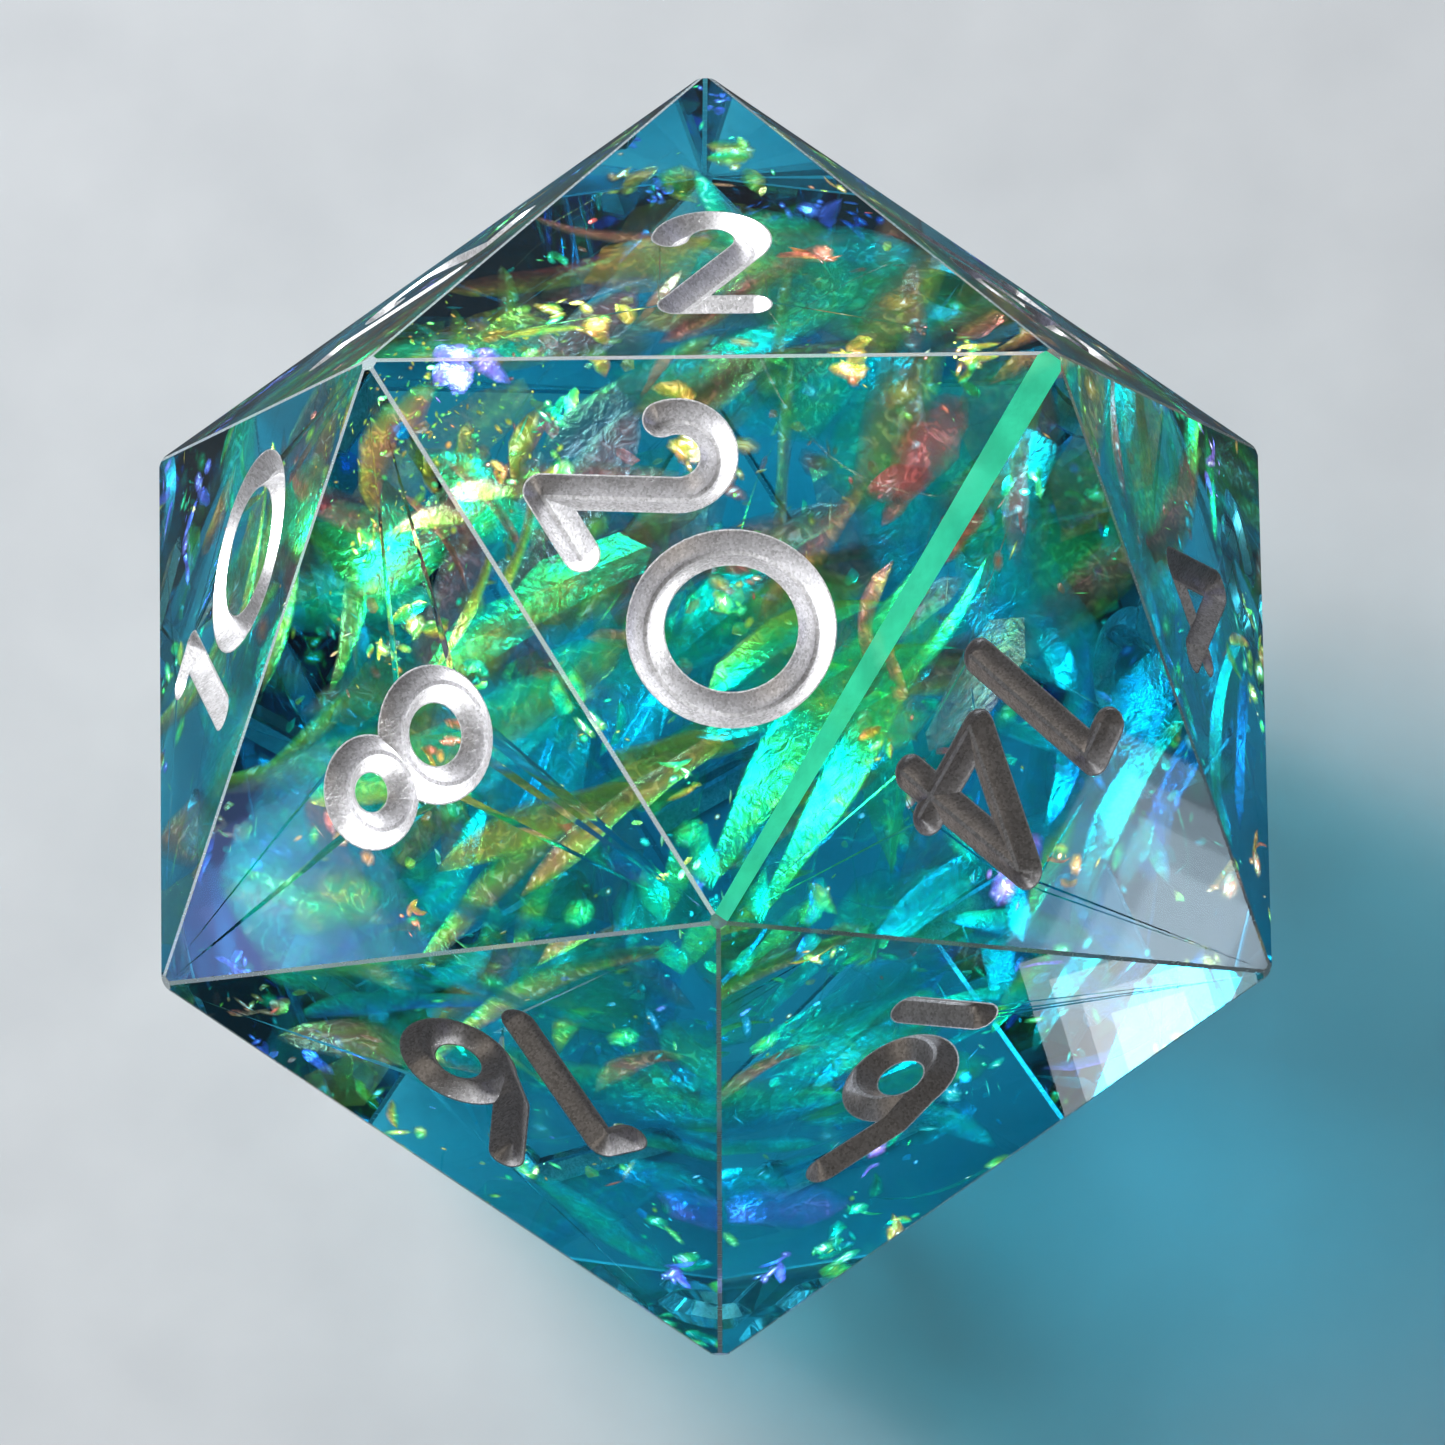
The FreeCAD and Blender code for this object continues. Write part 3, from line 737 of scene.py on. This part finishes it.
def film_glints():
    """Tight curls and flecks of film just under the faces that catch the lamps' light and shine with
    painted glints of their own, joined by slot.
    """
    films = {slot: Film() for slot in FAMILIES}
    for index, (place, hue, size) in enumerate(UPPER_GLINTS + strewn_glints()):
        rng = random.Random(index + GLINT_SEED)
        spot = CENTRE + Vector(place) * MM
        film = films[hue_slot(hue)]
        film.spark(rng, turned(rng, spot, 1.5, 0.3), size * MM, hue, 1.9)
        for fleck in range(5):
            near = scattered(rng, spot, 0.8 * size * MM)
            place = turned(rng, near, 1.5, 0.5)
            radius = size * rng.uniform(0.2, 0.7) * MM
            film.spark(rng, place, radius, rng.gauss(hue, 0.07), rng.uniform(0.7, 1.6))
        for curl in range(2):
            place = turned(rng, scattered(rng, spot, size * MM), 1.0, 0.5)
            length = size * rng.uniform(1.5, 3.5) * MM
            width = size * rng.uniform(0.6, 1.4) * MM
            curl_hue = rng.gauss(hue, 0.06)
            spread = rng.uniform(-0.3, 0.3)
            film.ribbon(rng, place, length, width, curl_hue, spread, 0.8, rng.uniform(0.2, 0.5), columns=3)
    for slot, film in films.items():
        film.finish(slot.replace("film", "glints"), slot)


def film_dust():
    """Fine dust of the film, just under the corner where the faces 20, 8 and 2 meet."""
    rng = random.Random(DUST_SEED)
    shared = [corner for corner in face_corners(20)
              if all(min((corner - other).length for other in face_corners(number)) < 1 * MM
                     for number in (8, 2))]
    film = Film()
    for speck in range(260):
        spot = scattered(rng, CENTRE + (shared[0] - CENTRE) * 0.82, 1.1 * MM)
        # Each speck has a faint painted glow of its own.
        film.spark(rng, turned(rng, spot, 1.5, 0.8), rng.uniform(0.03, 0.11) * MM,
                   rng.gauss(0.22, 0.06), rng.uniform(0.2, 0.8))
    film.finish("film_dust", "film_gold")


# ---- the studio -------------------------------------------------------------------------

def area_light(name, way, away, radiance, size, colour=(1, 1, 1), target=CENTRE):
    """A soft square light that faces the die, with its brightness as seen in a mirror."""
    lamp = bpy.data.lights.new(name, "AREA")
    lamp.shape = "SQUARE"
    lamp.size = size
    lamp.energy = radiance * math.pi * size ** 2
    lamp.color = colour
    item = bpy.data.objects.new(name, lamp)
    way = Vector(way).normalized()
    item.location = target + way * away
    item.rotation_mode = "QUATERNION"
    item.rotation_quaternion = way.to_track_quat("Z", "Y")
    item.visible_camera = False
    bpy.context.scene.collection.objects.link(item)


# The distance of the lights from the die, and of the cards from what they shine on.
LAMP_AWAY = 0.35
CARD_AWAY = 0.15
# A card is this many nested squares. Each is this much closer than the last, and smaller than the
# last by this share of the first.
CARD_RINGS = 4
CARD_STEP = 0.5 * MM
CARD_SHRINK = 0.22


def corner_card(name, number, spot, away, size, radiance, colour):
    """Nested cards that a face mirrors to the camera at a spot given in the face's own frame.

    Each is smaller than the last, so that the reflection has a soft rim.
    """
    place = face_frame(number)
    outward = place.to_3x3() @ Vector((0, 0, 1))
    spot = place @ Vector((*spot, 0))
    view = camera_back()
    way = 2 * outward.dot(view) * outward - view
    for ring in range(CARD_RINGS):
        area_light("%s_%d" % (name, ring + 1), way, away - CARD_STEP * ring, radiance / CARD_RINGS,
                   size * (1 - CARD_SHRINK * ring), colour, target=spot)


# How far past the die's box the pale floor is mirrored, how much closer the dark sheet of painted shade
# comes at the back, and how far it reaches.
PAINTED_SHADE_GAP = 0.5 * MM
PAINTED_SHADE_BACK = 3 * MM
PAINTED_SHADE_REACH = 1.5
# The dark sheet of painted shade lies this far above the floor.
PAINTED_SHADE_LIFT = 0.05 * MM


def painted_shade_surround():
    """A black sheet round the die that only its reflections and refractions show: painted dark
    reflections, hidden from the camera, casting no shadow.
    """
    material = matt_material("painted_shade_sheet", 2000.0, 2.0, 0.9, (0.004, 0.005, 0.006), (0.02, 0.02, 0.022))
    height = LOW.z + PAINTED_SHADE_LIFT
    sheet = bmesh.new()
    near = []
    far = []
    for right, back in ((0, 0), (1, 0), (1, 1), (0, 1)):
        for ring, reach in ((near, PAINTED_SHADE_GAP), (far, PAINTED_SHADE_REACH)):
            x = HIGH.x + reach if right else LOW.x - reach
            y = HIGH.y - PAINTED_SHADE_BACK + reach if back else LOW.y - reach
            ring.append(sheet.verts.new((x, y, height)))
    for side in range(4):
        after = (side + 1) % 4
        sheet.faces.new((near[side], far[side], far[after], near[after]))
    mesh = bpy.data.meshes.new("painted_shade_sheet")
    sheet.to_mesh(mesh)
    sheet.free()
    mesh.materials.append(material)
    shade_sheet_object = bpy.data.objects.new("painted_shade_sheet", mesh)
    bpy.context.scene.collection.objects.link(shade_sheet_object)
    # Hidden from the camera, from diffuse light and from shadows: it paints dark reflections only.
    shade_sheet_object.visible_camera = False
    shade_sheet_object.visible_diffuse = False
    shade_sheet_object.visible_shadow = False


FLOOR_SIZE = 3.0
WORLD_COLOUR = (1.0, 0.94, 0.88, 1)
WORLD_LIGHT = 0.07


def studio():
    """The floor, the dark sheet of painted shade and the lights. Each light has its direction, distance,
    radiance and size.
    """
    bpy.ops.mesh.primitive_plane_add(size=FLOOR_SIZE, location=(0, 0, LOW.z))
    floor = bpy.context.object
    floor.name = "studio_floor"
    floor.data.materials.append(matt_material(
        "pale_floor", 900.0, 4.0, 0.8, (0.25, 0.265, 0.28), (0.275, 0.29, 0.305)))
    painted_shade_surround()
    area_light("key_light", (-0.75, 0.45, 0.5), LAMP_AWAY, 52.0, 0.14)
    area_light("fill_light", (-0.6, 0.5, 0.62), LAMP_AWAY, 26.0, 0.12)
    area_light("back_light", (0.1, 0.95, 0.35), LAMP_AWAY, 2.5, 0.2)
    area_light("edge_light", (-0.58, 0.0, 0.8), LAMP_AWAY, 2.5, 0.1)
    area_light("right_light", (0.9, 0.35, 0.25), LAMP_AWAY, 3.0, 0.06, (0.5, 0.55, 1.0))
    area_light("front_light", (0.6, -0.6, 0.5), LAMP_AWAY, 2.0, 0.1, (1.0, 0.85, 0.68))
    corner_card("left_card", 8, (0, 7.2 * MM), CARD_AWAY, 6.5 * MM, 8.4, (0.3, 0.4, 1.0))
    corner_card("right_card", 14, (0, 7.6 * MM), CARD_AWAY, 7 * MM, 12.0, (0.66, 0.85, 1.0))
    corner_card("low_card", 6, (-5.3 * MM, -1.7 * MM), 15 * MM, 4.4 * MM, 13.0, (0.88, 0.94, 1.0))
    world = bpy.data.worlds.new("studio")
    world.use_nodes = True
    background = world.node_tree.nodes["Background"]
    background.inputs["Color"].default_value = WORLD_COLOUR
    background.inputs["Strength"].default_value = WORLD_LIGHT
    bpy.context.scene.world = world
    bpy.context.scene.view_settings.view_transform = "Standard"


# The camera's direction and roll, in degrees, its focal length in the camera's own millimetres, its
# distance, and the point beside the die's centre that it looks at.
CAMERA_ELEVATION = 70.92
CAMERA_AZIMUTH = 1.08
CAMERA_ROLL = 0.41
CAMERA_LENS = 1000
CAMERA_AWAY = 776.8 * MM
CAMERA_AIM = Vector((0.19, -0.13, -0.05)) * MM


def camera_back():
    """The direction from the die to the camera."""
    elevation = math.radians(CAMERA_ELEVATION)
    azimuth = math.radians(CAMERA_AZIMUTH)
    return Vector((-math.sin(azimuth) * math.cos(elevation),
                   -math.cos(azimuth) * math.cos(elevation), math.sin(elevation)))


def camera():
    """A long lens that looks down on the face numbered 20 from the front."""
    data = bpy.data.cameras.new("camera")
    data.lens = CAMERA_LENS
    data.clip_start = 0.01
    data.clip_end = 5
    item = bpy.data.objects.new("camera", data)
    bpy.context.scene.collection.objects.link(item)
    back = camera_back()
    right = Vector((0, 0, 1)).cross(back).normalized()
    up = back.cross(right)
    roll = math.radians(CAMERA_ROLL)
    right, up = (right * math.cos(roll) + up * math.sin(roll),
                 up * math.cos(roll) - right * math.sin(roll))
    item.matrix_world = Matrix.Translation(CENTRE + CAMERA_AIM + back * CAMERA_AWAY) @ Matrix(
        (right, up, back)).transposed().to_4x4()
    bpy.context.scene.camera = item


resin_piece()
paint_numerals()
film_scraps()
film_wisps()
film_glints()
film_dust()
studio()
camera()
# Enough bounces for light to find its way through the resin and between the scraps of film.
scene = bpy.context.scene
scene.cycles.max_bounces = 24
scene.cycles.transmission_bounces = 24
scene.cycles.glossy_bounces = 12
scene.cycles.transparent_max_bounces = 32
